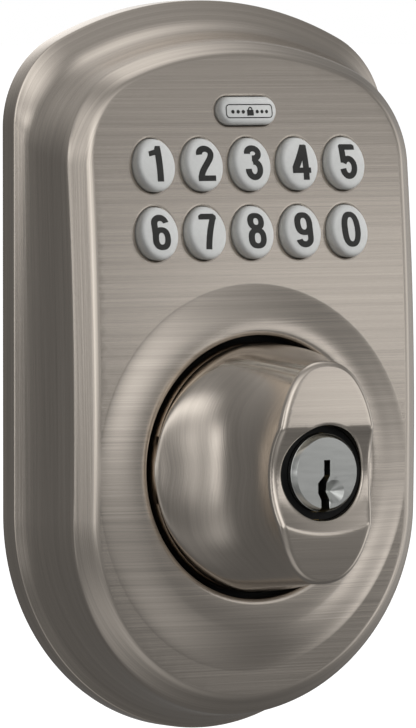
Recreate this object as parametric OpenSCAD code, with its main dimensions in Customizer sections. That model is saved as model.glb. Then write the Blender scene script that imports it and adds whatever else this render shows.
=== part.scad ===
// Keypad door lock, exterior half: a turn knob with its key cylinder and a ten-key pad in one housing.
// The origin is where the knob's axis meets the door face. The front looks along -Y, +Z is up,
// and the parts that enter the door lie at +Y. "Depth" below means distance in front of the door face.

/* [Escutcheon] */
// Width of the escutcheon at the door
plate_w = 72; // [71:0.5:74]
// Height of the crown of the escutcheon above the knob axis
plate_top = 76; // [75:0.5:78]
// Depth of the flat side wall of the escutcheon
wall_d = 4.2; // [3.6:0.1:5]
// Depth of the front face at its fullest point
face_d = 20.4; // [20:0.1:21]
// Radius of the gentle crown of the front face, from top to bottom
face_r = 420; // [380:10:600]
// Thickness of the cast skin
skin_t = 2.2; // [1.8:0.1:2.6]

/* [Keypad] */
// Spacing of the keys in a row
key_pitch_x = 9.2; // [9:0.1:9.4]
// Spacing of the two rows
key_pitch_z = 11.05; // [10.8:0.05:11.4]
// Height of the upper row above the knob axis
key_row_z = 49.25; // [48:0.25:50]
// Width of a key hole
key_hole_w = 7.66; // [7.4:0.02:8]
// Height of a key hole
key_hole_h = 8.9; // [8.6:0.05:9.2]
// How far the middle of a key stands out of the face
key_proud = 1.9; // [1.4:0.1:2.4]
// Travel of a key
key_travel = 0.9; // [0.6:0.1:1]

/* [Knob] */
// Radius of the round foot of the knob
knob_r = 20.5; // [20.2:0.1:20.7]
// Radius of the hole that the knob turns in
knob_hole_r = 21.5; // [21.3:0.1:21.8]
// Depth of the front of the grip
grip_d = 42.4; // [42:0.1:43]
// Half of the width of the grip at its front
grip_a = 9.1; // [8.8:0.1:9.4]
// Half of the height of the grip
grip_b = 18; // [17.6:0.1:18.4]

/* [Lock cylinder] */
// Radius of the turning plug
plug_r = 6.35; // [6.3:0.05:6.4]
// Depth of the face of the plug
plug_d = 41.8; // [41.4:0.1:42]
// Number of pin stacks
pin_count = 5; // [4:1:5]

/* [Rear fixings] */
// Radius of the locating collar, which enters a 54 mm door bore
collar_r = 26.6; // [26:0.1:26.8]
// Distance between the two threaded posts
post_pitch = 38.1; // [36:0.1:40]
// Length of the tailpiece behind the door face
tail_len = 48; // [42:1:60]

/* [Hidden] */
$fn = 64;

nickel = [0.62, 0.59, 0.55];
chrome = [0.72, 0.73, 0.71];
key_grey = [0.80, 0.81, 0.80];
steel = [0.66, 0.67, 0.69];
brass = [0.80, 0.66, 0.34];
black = [0.06, 0.06, 0.06];

// ---- outlines of the escutcheon: [half width, crown height, crown radius, corner radius] ----
low_z = -7.8;                 // height of the centre of the round lower end
crown_z = 7;                  // height at which the front face is fullest
base_shape = [plate_w / 2, plate_top, 61.6, 16];
rim_shape = [plate_w / 2 - 2.9, plate_top - 6.6, 58.6, 17];
crease_shape = [plate_w / 2 - 5.9, plate_top - 8.7, 56, 14.5];
rim_d = face_d - 2.5;         // depth of the rim at the fullest point
N_LOW = 36;
N_SIDE = 6;
N_CORNER = 8;
N_CROWN = 14;
N_RING = N_LOW + 2 * (N_SIDE + N_CORNER) + N_CROWN;

function inset(s, t) = [s[0] - t, s[1] - t, s[2] - t, s[3] - t];
function blend(a, b, t) = a * (1 - t) + b * t;
function arc(cx, cz, r, a0, a1, n) =
    [for (i = [0:n - 1]) let (a = a0 + (a1 - a0) * i / n) [cx + r * cos(a), cz + r * sin(a)]];

// Outline from the left end of the lower arc, along the bottom, up the right side and over the crown
function outline(s) =
    let (w = s[0], cz = s[1] - s[2], cx = w - s[3], h = sqrt(pow(s[2] - s[3], 2) - cx * cx))
    let (kz = cz + h, ka = atan2(h, cx))
    concat(
        arc(0, low_z, w, -180, 0, N_LOW),
        [for (i = [0:N_SIDE - 1]) [w, blend(low_z, kz, i / N_SIDE)]],
        arc(cx, kz, s[3], 0, ka, N_CORNER),
        arc(0, cz, s[2], ka, 180 - ka, N_CROWN),
        arc(-cx, kz, s[3], 180 - ka, 180, N_CORNER),
        [for (i = [0:N_SIDE - 1]) [-w, blend(kz, low_z, i / N_SIDE)]]);

function crown_drop(z) = pow(z - crown_z, 2) / (2 * face_r);
function face_at(z) = face_d - crown_drop(z);
// The hollow cove round the plate: how far it has risen after the share t of its width
function cove_rise(t) = 0.35 * t + 0.65 * pow(t, 5);
// One closed ring of the loft: an outline at a depth, bowed by the share k of the face's crown
function ring(s, d, k) = [for (p = outline(s)) [p[0], -(d - k * crown_drop(p[1])), p[1]]];

// Skin over a list of rings, closed at both ends by level strips
module loft(rings) {
    last = len(rings) - 1;
    half = N_LOW / 2;
    right = [for (k = [0:N_RING / 2]) (half + k) % N_RING];
    left = [for (k = [0:N_RING / 2]) (half - k + N_RING) % N_RING];
    sides = [for (j = [0:last - 1]) for (i = [0:N_RING - 1])
        let (n = (i + 1) % N_RING, a = j * N_RING, b = (j + 1) * N_RING)
        each [[a + i, b + i, b + n], [a + i, b + n, a + n]]];
    strips = [for (k = [0:N_RING / 2 - 1])
        each [[right[k], right[k + 1], left[k + 1]], [right[k], left[k + 1], left[k]]]];
    ends = [for (t = strips) if (t[0] != t[1] && t[1] != t[2] && t[0] != t[2]) t];
    back_end = ends;
    front_end = [for (t = ends) [for (i = [2, 1, 0]) t[i] + last * N_RING]];
    polyhedron([for (r = rings) each r], concat(sides, back_end, front_end), convexity = 10);
}

// ---- small helpers: everything is drawn towards the front from one depth to another ----
module slab(d0, d1) {
    translate([0, -d0, 0]) rotate([90, 0, 0]) linear_extrude(d1 - d0) children();
}
module rod(d0, d1, r, x = 0, z = 0) {
    translate([x, -d0, z]) rotate([90, 0, 0]) cylinder(r = r, h = d1 - d0);
}
module tube(d0, d1, r_out, r_in, x = 0, z = 0) {
    difference() {
        rod(d0, d1, r_out, x, z);
        rod(d0 - 1, d1 + 1, r_in, x, z);
    }
}
module block(x0, x1, d0, d1, z0, z1) {
    translate([x0, -d1, z0]) cube([x1 - x0, d1 - d0, z1 - z0]);
}
module turned() {
    rotate([90, 0, 0]) rotate_extrude() children();
}
module oval(a, b) {
    polygon([for (i = [0:47]) [a * cos(i * 7.5), b * sin(i * 7.5)]]);
}
module stadium(w, h) {
    r = h / 2;
    c = w / 2 - r;
    polygon([for (i = [0:25]) let (right = i < 13, a = right ? 15 * i - 90 : 15 * (i - 13) + 90)
        [(right ? c : -c) + r * cos(a), r * sin(a)]]);
}

// ---- escutcheon ----
board_post_x = 25.6;
board_post_z = [56.5, 32.5];
plate_post = [[14, 63.4], [22.5, -27]];
post_r = 2.2;
board_front = 11.2;
screw_r = 1.1;

module each_board_post() {
    for (s = [-1, 1]) for (z = board_post_z) translate([s * board_post_x, 0, z]) children();
}
module each_plate_post() {
    for (s = [-1, 1]) for (p = plate_post) translate([s * p[0], 0, p[1]]) children();
}

module outer_body() {
    cove_steps = 10;
    edge = 0.2;
    base_back = 0.5;
    loft(concat(
        [ring(base_shape, base_back, 0)],
        [ring(base_shape, wall_d - edge, 0)],
        [for (i = [0:cove_steps]) let (t = i / cove_steps, rise = cove_rise(t))
            ring(blend(inset(base_shape, edge), rim_shape, t), blend(wall_d, rim_d, rise), rise)],
        [ring(crease_shape, face_d, 1)]));
}
module inner_hollow() {
    loft([
        ring(inset(base_shape, skin_t), -1, 0),
        ring(inset(base_shape, skin_t), plate_front + 0.1, 0),
        ring(inset(rim_shape, skin_t), 6.5, 0.2),
        ring(inset(rim_shape, skin_t + 0.2), rim_d - 2.4, 1),
        ring(inset(crease_shape, skin_t - 0.4), face_d - skin_t, 1)]);
}
// Raised ring round the knob: a sloping skirt, a swelling that flattens, and a rounded lip
module bulge() {
    skirt = [[34.4, 17.4], [33.4, 18.45], [31.3, 19.55]];
    swell = [for (i = [0:8]) [29.9 - 7.4 * i / 8, 20.25 + 1.65 * pow(sin(90 * i / 8), 1.3)]];
    lip = [for (i = [1:4]) [knob_hole_r + 1 - sin(22.5 * i), 21.4 + 0.5 * cos(22.5 * i)]];
    turned() polygon(concat(skirt, swell, lip, [[knob_hole_r - 0.5, 21.4], [knob_hole_r - 0.5, 17.5]]));
}
module escutcheon() {
    color(nickel) difference() {
        union() {
            difference() {
                union() {
                    outer_body();
                    bulge();
                }
                inner_hollow();
            }
            for (s = [-1, 1]) for (z = board_post_z)
                rod(board_front, face_at(z) - skin_t + 0.6, post_r - 0.4, s * board_post_x, z);
            for (s = [-1, 1]) for (p = plate_post)
                rod(plate_front, face_at(p[1]) - skin_t + 0.6, post_r, s * p[0], p[1]);
        }
        rod(10, 30, knob_hole_r);
        each_board_post() rod(board_front - 1, 15, screw_r + 0.05);
        each_plate_post() rod(plate_front - 1, 12, screw_r + 0.05);
        for (i = [0:9]) translate([key_x(i), 0, key_z(i)]) slab(12, 30) oval(key_hole_w / 2, key_hole_h / 2);
        translate([0, 0, button_z]) slab(12, 30) stadium(button_w, button_h);
    }
}

// ---- keypad: keys 1 to 5 in the upper row, 6 to 9 and 0 in the lower one ----
button_z = 57.95;
button_w = 11.5;
button_h = 4.9;
key_gap = 0.15;
mat_top = 12.2;
function key_x(i) = (i % 5 - 2) * key_pitch_x;
function key_z(i) = key_row_z - (i < 5 ? 0 : key_pitch_z);

// A key's cap is cut by a ball whose centre is low, so that its face leans back and is slightly domed
module key_cap(z, proud) {
    ball_r = 20;
    ball_low = 4.3;
    flange_back = face_at(z) - skin_t - 1.4;
    intersection() {
        slab(flange_back, face_at(z) + 4) children(0);
        translate([0, -(face_at(z) + proud - ball_r), -ball_low]) sphere(r = ball_r, $fn = 96);
    }
    slab(flange_back - 0.4, flange_back + 0.6) children(1);
    tube(mat_top + key_travel + 0.4, flange_back, 3.1, 2.4);
    rod(mat_top + key_travel + 0.85, flange_back, 1.8);
}
module key(i) {
    a = key_hole_w / 2 - key_gap;
    b = key_hole_h / 2 - key_gap;
    color(key_grey) translate([key_x(i), 0, key_z(i)]) key_cap(key_z(i), key_proud) {
        oval(a, b);
        oval(a + 0.6, b + 0.6);
    }
}
module top_button() {
    w = button_w - 2 * key_gap;
    h = button_h - 2 * key_gap;
    color(key_grey) translate([0, 0, button_z]) {
        flange_back = face_at(button_z) - skin_t - 1.4;
        intersection() {
            slab(flange_back, face_at(button_z) + 4) stadium(w, h);
            translate([0, -(face_at(button_z) + 1.7 - 30), -4.6]) sphere(r = 30, $fn = 96);
        }
        slab(flange_back, flange_back + 0.6) stadium(w + 1, h + 1);
    }
}
module keypad_mat() {
    color([0.30, 0.33, 0.36]) difference() {
        union() {
            block(-23.4, 23.4, board_front, mat_top, 32.4, 60.6);
            for (i = [0:9]) rod(mat_top, mat_top + 0.7, 2, key_x(i), key_z(i));
            rod(mat_top, mat_top + 0.3, 1.6, 0, button_z);
        }
        for (s = [-1, 1]) rod(board_front - 1, mat_top + 1, 1.7, s * lamp_x, button_z);
        each_board_post() rod(board_front - 1, mat_top + 1, post_r + 0.2);
    }
}

// ---- electronics ----
board_back = board_front - 1.6;
lamp_x = 4.4;
module board_outline(w) {
    polygon([[-w, 29.6], [w, 29.6], [w, 56.5], [w - 4.5, 61], [4.5 - w, 61], [-w, 56.5]]);
}
module circuit_board() {
    color([0.10, 0.32, 0.20]) difference() {
        slab(board_back, board_front) board_outline(28);
        each_board_post() rod(board_back - 1, board_front + 1, screw_r + 0.1);
    }
}
module board_chips() {
    color([0.09, 0.09, 0.10]) {
        block(-15, -5, board_back - 1.2, board_back, 36, 46);
        block(3, 9, board_back - 1.0, board_back, 38, 43);
        block(12, 16, board_back - 0.9, board_back, 50, 55);
        block(-8, -4, board_back - 0.8, board_back, 50, 53);
    }
}
module board_connector() {
    pin_gap = 2.5;
    color([0.90, 0.89, 0.84]) difference() {
        block(9, 21, board_back - 4.2, board_back, 31, 36);
        block(10, 20, board_back - 5, board_back - 1, 31.9, 35.1);
    }
    color(brass) for (i = [0:3]) {
        block(11.1 + pin_gap * i, 11.7 + pin_gap * i, board_back - 3.6, board_back - 1, 33.2, 33.8);
    }
}
module buzzer() {
    color(black) difference() {
        rod(board_back - 3, board_back, 4.5, -14, 53.5);
        rod(board_back - 4, board_back - 2.2, 1, -14, 53.5);
    }
}
module status_lamps() {
    color([0.85, 0.35, 0.25]) for (s = [-1, 1]) translate([s * lamp_x, 0, button_z]) {
        rod(board_front, board_front + 0.8, 1.5);
        rod(board_front + 0.8, board_front + 1.3, 1.1);
    }
}
module board_frame() {
    color([0.20, 0.20, 0.21]) difference() {
        slab(board_back - 1.8, board_back) board_outline(28);
        block(-23, -1, board_back - 3, board_back + 1, 33.5, 58.8);
        block(1, 23, board_back - 3, board_back + 1, 37.5, 58.8);
        block(8.4, 21.6, board_back - 3, board_back + 1, 29, 37.6);
        each_board_post() rod(board_back - 3, board_back + 1, screw_r + 0.1);
    }
}
// A pan-head screw whose head sits at a depth and whose shank goes forward from there
module screw(head_d, reach) {
    head_t = 1.2;
    difference() {
        union() {
            rod(head_d - head_t, head_d, 2);
            rod(head_d, reach, screw_r);
        }
        for (a = [0, 90]) rotate([0, a, 0]) block(-1.2, 1.2, head_d - 2, head_d - 0.5, -0.25, 0.25);
    }
}
module board_screws() {
    color(steel) each_board_post() screw(board_back - 1.8, 14.4);
}

// ---- back plate and what it carries into the door ----
plate_back = 1.6;
plate_front = 3.1;
bushing_r = 11.5;
grommet_z = -18.5;
module back_plate() {
    color(steel) difference() {
        slab(plate_back, plate_front) polygon(outline(inset(base_shape, skin_t + 0.3)));
        rod(0, 5, bushing_r + 0.05);
        rod(0, 5, 3.65, 0, grommet_z);
        for (s = [-1, 1]) rod(0, 5, 2.45, s * post_pitch / 2, 0);
        each_plate_post() rod(0, 5, screw_r + 0.1);
        for (s = [-1, 1]) rod(0, 5, screw_r + 0.1, s * frame_screw_x, frame_screw_z);
    }
}
module back_plate_screws() {
    color(steel) each_plate_post() screw(plate_back, 11);
}
module gasket() {
    color([0.10, 0.10, 0.10]) slab(0, plate_back) difference() {
        polygon(outline(inset(base_shape, skin_t + 0.05)));
        polygon(outline(inset(base_shape, skin_t + 2)));
    }
}
module bore_collar() {
    color(steel) tube(-4.5, plate_back, collar_r, collar_r - 2);
}
module mounting_posts() {
    color(steel) for (s = [-1, 1]) translate([s * post_pitch / 2, 0, 0]) difference() {
        union() {
            rod(-16, plate_back, 3.6);
            rod(plate_back, plate_front, 2.4);
            rod(plate_front, plate_front + 0.8, 3.4);
        }
        rod(-17, -2, 2.1);
    }
}
module cable_grommet() {
    color(black) translate([0, 0, grommet_z]) difference() {
        union() {
            rod(-1, plate_back, 4.8);
            rod(plate_back, plate_front, 3.6);
            rod(plate_front, plate_front + 1.2, 4.8);
        }
        rod(-3, 5, 2.6);
    }
}
module hub_bushing() {
    color([0.72, 0.60, 0.40]) difference() {
        union() {
            rod(plate_back, 6.5, bushing_r);
            rod(plate_front, plate_front + 1.5, bushing_r + 2);
        }
        rod(-1, 8, spindle_r + 0.05);
    }
}

// ---- knob: a round foot that narrows, with hollow flanks, to a tall oval grip ----
foot_d = 22;                  // depth where the knob begins to narrow
knob_back = 18.6;
KNOB_N = 72;
// One outline across the knob: a rounded oblong, kept inside the round of the foot
function knob_ring(d, a, b, e) = [for (i = [0:KNOB_N - 1])
    let (t = i * 360 / KNOB_N, c = cos(t), s = sin(t))
    let (x = a * sign(c) * pow(abs(c), 2 / e), z = b * sign(s) * pow(abs(s), 2 / e))
    let (kept = min(1, knob_r / norm([x, z])))
    [kept * x, -d, kept * z]];
module knob_body() {
    waist = grip_a + 0.6;
    steps = 14;
    flank = [for (i = [0:steps]) let (s = pow(i / steps, 1.3), f = 1 - s)
        knob_ring(blend(foot_d, grip_d - 0.8, s), waist + (knob_r - waist) * pow(f, 2.4),
            grip_b + (knob_r - grip_b) * pow(f, 1.6), 2 + 0.25 * s + 1.1 * sin(180 * pow(s, 0.6)))];
    nose = [for (i = [1:3]) let (q = 30 * i)
        let (narrow = 0.7 * (1 - cos(q)))
        knob_ring(grip_d - 0.8 + 0.8 * sin(q), waist - narrow, grip_b - narrow, 2.25)];
    rings = concat([knob_ring(knob_back, knob_r, knob_r, 2)], flank, nose);
    last = len(rings) - 1;
    faces = [for (j = [0:last - 1]) for (i = [0:KNOB_N - 1])
        let (n = (i + 1) % KNOB_N, a = j * KNOB_N, b = (j + 1) * KNOB_N)
        each [[a + i, b + i, b + n], [a + i, b + n, a + n]]];
    polyhedron([for (r = rings) each r],
        concat(faces, [[for (i = [0:KNOB_N - 1]) i]],
            [[for (i = [KNOB_N - 1:-1:0]) last * KNOB_N + i]]), convexity = 10);
}
bezel_r = 7.6;
barrel_r = 8.5;
bible_a = 3.6;
bible_top = 15.4;
barrel_front = 38.4;
module knob() {
    scoop_r = 15.1;
    color(nickel) difference() {
        knob_body();
        translate([-30, -(grip_d + 13), -0.5]) rotate([0, 90, 0]) cylinder(r = scoop_r, h = 60, $fn = 96);
        rod(barrel_front, grip_d + 1, bezel_r + 0.1);
        rod(knob_back - 1, barrel_front, barrel_r + 0.1);
        block(-bible_a - 0.1, bible_a + 0.1, knob_back - 1, barrel_front, 0, bible_top + 0.1);
        for (a = [45:90:315]) rotate([0, a, 0]) rod(knob_back - 1, knob_back + 6, screw_r + 0.05, 15.2, 0);
    }
}
module cylinder_bezel() {
    color(black) tube(barrel_front, 39.9, bezel_r, plug_r + 0.1);
}

// ---- lock cylinder ----
pin_pitch = 3.96;
pin_first = 36;
pin_r = 1.42;
function pin_d(k) = pin_first - pin_pitch * k;
module pin_stack(k) {
    translate([0, -pin_d(k), 0]) children();
}
module cylinder_housing() {
    color(brass) difference() {
        union() {
            rod(knob_back, barrel_front, barrel_r);
            block(-bible_a, bible_a, knob_back, barrel_front - 0.6, 0, bible_top);
        }
        rod(knob_back - 1, barrel_front + 1, plug_r + 0.03);
        for (k = [0:pin_count - 1]) pin_stack(k) cylinder(r = pin_r + 0.05, h = bible_top - 0.8);
    }
}
module driver_pins() {
    color(steel) for (k = [0:pin_count - 1]) pin_stack(k)
        translate([0, 0, plug_r + 0.05]) cylinder(r = pin_r, h = 3);
}
module pin_springs() {
    low = plug_r + 3.05;
    high = bible_top - 0.8;
    turns = 5;
    step = (high - low) / turns;
    color([0.75, 0.60, 0.35]) for (k = [0:pin_count - 1]) pin_stack(k)
        translate([0, 0, low]) rotate_extrude() polygon(concat(
            [for (i = [0:2 * turns]) [i % 2 == 0 ? 1.1 : 1.35, step * i / 2]],
            [for (i = [2 * turns:-1:0]) [i % 2 == 0 ? 0.75 : 0.95, step * i / 2]]));
}
plug_back = 14.5;
plug_bevel = 1.1;
module keyway() {
    slab(plug_back - 1, plug_d + 1) polygon([[-0.55, 2.1], [0.6, 2.1], [0.6, -0.4], [-0.1, -1.6],
        [-0.1, -3.0], [0.5, -4.2], [0.5, -7], [-1.1, -7], [-1.1, -4.4], [-1.7, -3.2], [-1.7, -1.6],
        [-0.55, -0.4]]);
}
module plug() {
    color(chrome) difference() {
        union() {
            rod(plug_back, plug_d - plug_bevel, plug_r);
            translate([0, plug_bevel - plug_d, 0]) rotate([90, 0, 0])
                cylinder(r1 = plug_r, r2 = plug_r - plug_bevel / 2, h = plug_bevel);
        }
        keyway();
        translate([1.4, -plug_d - 0.01, -3]) rotate([-90, 0, 0]) cylinder(r1 = 1.9, r2 = 0.2, h = 1.4);
        for (k = [0:pin_count - 1]) pin_stack(k) cylinder(r = pin_r + 0.05, h = 9);
        tube(plug_clip_d, plug_clip_d + 1, plug_r + 1, plug_r - 0.7);
        block(-4.05, 4.05, plug_back - 1, plug_back + 2, -0.85, 0.85);
    }
}
plug_clip_d = 17.2;
module key_pins() {
    cuts = [1.3, 2.1, 0.9, 1.8, 1.5];
    color(brass) intersection() {
        for (k = [0:pin_count - 1]) pin_stack(k) translate([0, 0, cuts[k]]) {
            translate([0, 0, 0.9]) cylinder(r = pin_r, h = plug_r);
            cylinder(r1 = 0.5, r2 = pin_r, h = 0.9);
        }
        rod(plug_back, plug_d, plug_r - 0.02);
    }
}
module plug_clip() {
    color(steel) difference() {
        tube(plug_clip_d + 0.05, plug_clip_d + 0.95, 8, plug_r - 0.65);
        block(-3, 3, plug_clip_d - 1, plug_clip_d + 2, -9, 0);
    }
}
module tailpiece() {
    color(steel) difference() {
        block(-4, 4, -tail_len, plug_back + 1.9, -0.8, 0.8);
        for (k = [0:3]) block(-5, 5, 12 - tail_len + 8 * k, 12.6 - tail_len + 8 * k, 0.5, 1);
    }
}

// ---- what ties the knob to the hub ----
spindle_r = 8;
spindle_bore = 7;
cover_d = 16.2;
clip_back = plate_back - 1.3;
module knob_cover() {
    color(steel) difference() {
        union() {
            tube(cover_d, knob_back, 19.2, 8.6);
            tube(cover_d, cover_d + 0.7, knob_hole_r + 1.3, 8.6);
        }
        for (a = [45:90:315]) rotate([0, a, 0]) rod(cover_d - 1, knob_back + 1, screw_r + 0.1, 15.2, 0);
    }
}
module knob_cover_screws() {
    color(steel) for (a = [45:90:315]) rotate([0, a, 0]) translate([15.2, 0, 0]) screw(cover_d, 23.8);
}
module knob_spindle() {
    color(steel) difference() {
        union() {
            rod(clip_back - 1.6, cover_d, spindle_r);
            rod(cover_d - 1.6, cover_d, 12.4);
        }
        rod(-4, cover_d + 1, spindle_bore);
        tube(clip_back - 0.1, clip_back + 1.1, spindle_r + 1, spindle_r - 0.5);
    }
}
module spindle_clip() {
    color(steel) difference() {
        tube(clip_back, clip_back + 1, 10.8, spindle_r - 0.45);
        block(-3.5, 3.5, clip_back - 1, clip_back + 2, -12, 0);
    }
}
collar_out = 13.5;
notch_w = 5.6;
module clutch_collar() {
    color([0.55, 0.55, 0.58]) difference() {
        tube(8.3, 12.7, collar_out, spindle_r + 0.02);
        for (a = [0:90:270]) rotate([0, a, 0]) block(-notch_w / 2, notch_w / 2, 7, 13, 10, 15);
    }
}

// ---- clutch: a small solenoid pushes a pin down into a notch of the collar, and a spring lifts it back ----
pin_axis_d = 10.5;
frame_screw_x = 10.3;
frame_screw_z = 25;
frame_low = 21;
frame_high = 29;
flange_z = 16.9;
clutch_pin_r = 2.2;
module pin_column() {
    translate([0, -pin_axis_d, 0]) children();
}
module clutch_pin() {
    color(steel) pin_column() {
        translate([0, 0, 14]) cylinder(r = clutch_pin_r, h = 12.5);
        translate([0, 0, flange_z]) cylinder(r = 3.3, h = 0.8);
    }
}
module clutch_spring() {
    low = flange_z + 0.85;
    turns = 3;
    step = (frame_low - 0.05 - low) / turns;
    color([0.75, 0.60, 0.35]) pin_column() translate([0, 0, low]) rotate_extrude() polygon(concat(
        [for (i = [0:2 * turns]) [i % 2 == 0 ? 2.9 : 3.2, step * i / 2]],
        [for (i = [2 * turns:-1:0]) [i % 2 == 0 ? 2.5 : 2.7, step * i / 2]]));
}
module solenoid_frame() {
    color(steel) difference() {
        union() {
            block(-7.6, 7.6, plate_front, 15, frame_low, frame_low + 1);
            block(-7.6, 7.6, plate_front, 15, frame_high - 1, frame_high);
            block(-12.8, 12.8, plate_front, plate_front + 1, frame_low, frame_high);
        }
        pin_column() translate([0, 0, frame_low - 1]) cylinder(r = clutch_pin_r + 0.4, h = 3);
        for (s = [-1, 1]) rod(2, 5, screw_r + 0.1, s * frame_screw_x, frame_screw_z);
    }
}
module solenoid_screws() {
    color(steel) for (s = [-1, 1]) translate([s * frame_screw_x, 0, frame_screw_z]) {
        rod(plate_back + 0.1, plate_front + 1, screw_r);
        rod(plate_front + 1, plate_front + 2, 2);
    }
}
module solenoid_coil() {
    low = frame_low + 1.05;
    high = frame_high - 1.05;
    color([0.62, 0.30, 0.16]) pin_column() difference() {
        union() {
            translate([0, 0, low]) cylinder(r = 4.5, h = high - low);
            for (z = [low, high - 1]) translate([0, 0, z]) cylinder(r = 5.2, h = 1);
        }
        translate([0, 0, low - 1]) cylinder(r = clutch_pin_r + 0.08, h = high - low);
    }
}

// Two-core lead from the coil to the board, a tube swept along a few points
lead_r = 0.8;
lead_pts = [[4.2, -9, 25], [7.6, -8, 25.2], [11, -6.6, 26.4], [13.4, -4.4, 29], [15, -3.6, 33.5],
    [15, -6.4, 33.5]];
function bez(p, t) = len(p) == 1 ? p[0] : bez([for (i = [0:len(p) - 2]) blend(p[i], p[i + 1], t)], t);
module clutch_lead() {
    rings = 16;
    sides = 8;
    path = [for (i = [0:rings]) bez(lead_pts, i / rings)];
    pts = [for (i = [0:rings])
        let (t = path[min(i + 1, rings)] - path[max(i - 1, 0)], u = cross(t, [0, 1, 0]), v = cross(t, u))
        for (k = [0:sides - 1]) path[i] + lead_r * (cos(45 * k) * u / norm(u) + sin(45 * k) * v / norm(v))];
    skin = [for (i = [0:rings - 1]) for (k = [0:sides - 1])
        let (n = (k + 1) % sides) each [[i * sides + k, (i + 1) * sides + k, (i + 1) * sides + n],
            [i * sides + k, (i + 1) * sides + n, i * sides + n]]];
    color([0.55, 0.12, 0.10]) polyhedron(pts, concat(skin, [[for (k = [0:sides - 1]) k]],
        [[for (k = [sides - 1:-1:0]) rings * sides + k]]));
}

escutcheon();
gasket();
back_plate();
back_plate_screws();
bore_collar();
mounting_posts();
cable_grommet();
for (i = [0:9]) key(i);
top_button();
keypad_mat();
circuit_board();
board_chips();
board_connector();
buzzer();
status_lamps();
board_frame();
board_screws();
hub_bushing();
solenoid_frame();
solenoid_screws();
solenoid_coil();
clutch_spring();
clutch_lead();
clutch_pin();
knob();
cylinder_bezel();
cylinder_housing();
driver_pins();
pin_springs();
knob_cover();
knob_cover_screws();
knob_spindle();
clutch_collar();
spindle_clip();
plug();
key_pins();
plug_clip();
tailpiece();
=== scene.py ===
import math

import bmesh
import bpy
import numpy as np
from mathutils import Matrix, Vector
from mathutils.geometry import delaunay_2d_cdt


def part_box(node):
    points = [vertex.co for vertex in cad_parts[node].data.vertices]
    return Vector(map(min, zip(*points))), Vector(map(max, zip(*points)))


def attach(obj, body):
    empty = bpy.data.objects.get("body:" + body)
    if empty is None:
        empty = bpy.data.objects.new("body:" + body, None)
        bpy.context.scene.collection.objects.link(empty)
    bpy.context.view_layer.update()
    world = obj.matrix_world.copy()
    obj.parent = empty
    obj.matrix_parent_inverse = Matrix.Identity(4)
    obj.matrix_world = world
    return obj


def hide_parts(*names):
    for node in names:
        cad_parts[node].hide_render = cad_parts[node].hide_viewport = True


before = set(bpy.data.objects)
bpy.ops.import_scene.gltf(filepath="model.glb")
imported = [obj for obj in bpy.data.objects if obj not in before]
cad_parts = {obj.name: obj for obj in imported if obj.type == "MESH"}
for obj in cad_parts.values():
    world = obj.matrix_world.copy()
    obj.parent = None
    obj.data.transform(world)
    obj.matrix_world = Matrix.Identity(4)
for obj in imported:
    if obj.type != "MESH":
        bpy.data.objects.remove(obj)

MM = 0.001
FULL_TURN = 2 * math.pi
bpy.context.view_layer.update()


def corners(node):
    """Lowest and highest corner of a CAD node in millimetres, as (x, y, z) arrays."""
    low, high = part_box(node)
    return np.array(low) / MM, np.array(high) / MM


def centre_of(node):
    """Middle of a CAD node as (x, z)."""
    low, high = corners(node)
    return (low[0] + high[0]) / 2, (low[2] + high[2]) / 2


# ---- sizes taken from the frame
PLATE_LOW, PLATE_HIGH = corners("escutcheon")
PLATE_HALF = PLATE_HIGH[0]
PLATE_TOP = PLATE_HIGH[2]
ROUND_END_Z = PLATE_LOW[2] + PLATE_HALF  # centre height of the round lower end
BULGE_FRONT = -PLATE_LOW[1]  # depth of the front of the raised ring round the knob
BULGE_PROUD = 1.5  # how far the raised ring stands in front of the fullest place of the face
FACE_DEPTH = BULGE_FRONT - BULGE_PROUD
SKIN = 2.2  # how thick the plate is
GRIP_FRONT = -corners("knob")[0][1]
KNOB_R = corners("knob")[1][0]
PLUG_R = corners("plug")[1][0]
PLUG_FRONT = -corners("plug")[0][1]
BEZEL_R = corners("cylinder_bezel")[1][0]
KEY_NAMES = [f"key_{(i + 1) % 10}" for i in range(10)]

# ---- mesh building
END_POINTS = 112  # points on each stretch of the plate's outline
SIDE_POINTS = 36
CORNER_POINTS = 30
CROWN_POINTS = 56
WELD = 2e-6  # points closer than this, in metres, become one
NO_LENGTH = 1e-7  # an edge shorter than this, in metres, goes
FILL_NEAR = 1e-7  # points of a flat fill closer than this, in millimetres, are the same
ROW_STEP = 0.866  # a staggered grid's rows are this share of its step apart


def oval_points(angles, a, b, cx=0.0, cz=0.0):
    """Points of an oval at these angles."""
    return np.column_stack([cx + a * np.cos(angles), cz + b * np.sin(angles)])


def outline(shape):
    """Closed outline of the plate, anticlockwise from its left side, for a shape such as BASE."""
    half, top, crown_r, corner_r = shape
    crown_z = top - crown_r
    corner_x = half - corner_r
    reach = math.sqrt((crown_r - corner_r) ** 2 - corner_x**2)
    corner_z = crown_z + reach
    turn = math.atan2(reach, corner_x)

    def arc(cx, cz, r, start, end, count):
        return oval_points(start + (end - start) * np.arange(count) / count, r, r, cx, cz)

    def side(x, low, high, count):
        z = low + (high - low) * np.arange(count) / count
        return np.column_stack([np.full(count, x), z])

    return np.vstack([
        arc(0, ROUND_END_Z, half, -math.pi, 0, END_POINTS),
        side(half, ROUND_END_Z, corner_z, SIDE_POINTS),
        arc(corner_x, corner_z, corner_r, 0, turn, CORNER_POINTS),
        arc(0, crown_z, crown_r, turn, math.pi - turn, CROWN_POINTS),
        arc(-corner_x, corner_z, corner_r, math.pi - turn, math.pi, CORNER_POINTS),
        side(-half, corner_z, ROUND_END_Z, SIDE_POINTS),
    ])


def oval_loop(a, b, count, cx=0.0, cz=0.0):
    return oval_points(FULL_TURN * np.arange(count) / count, a, b, cx, cz)


def round_loop(r, count, cx=0.0, cz=0.0):
    return oval_loop(r, r, count, cx, cz)


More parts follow.
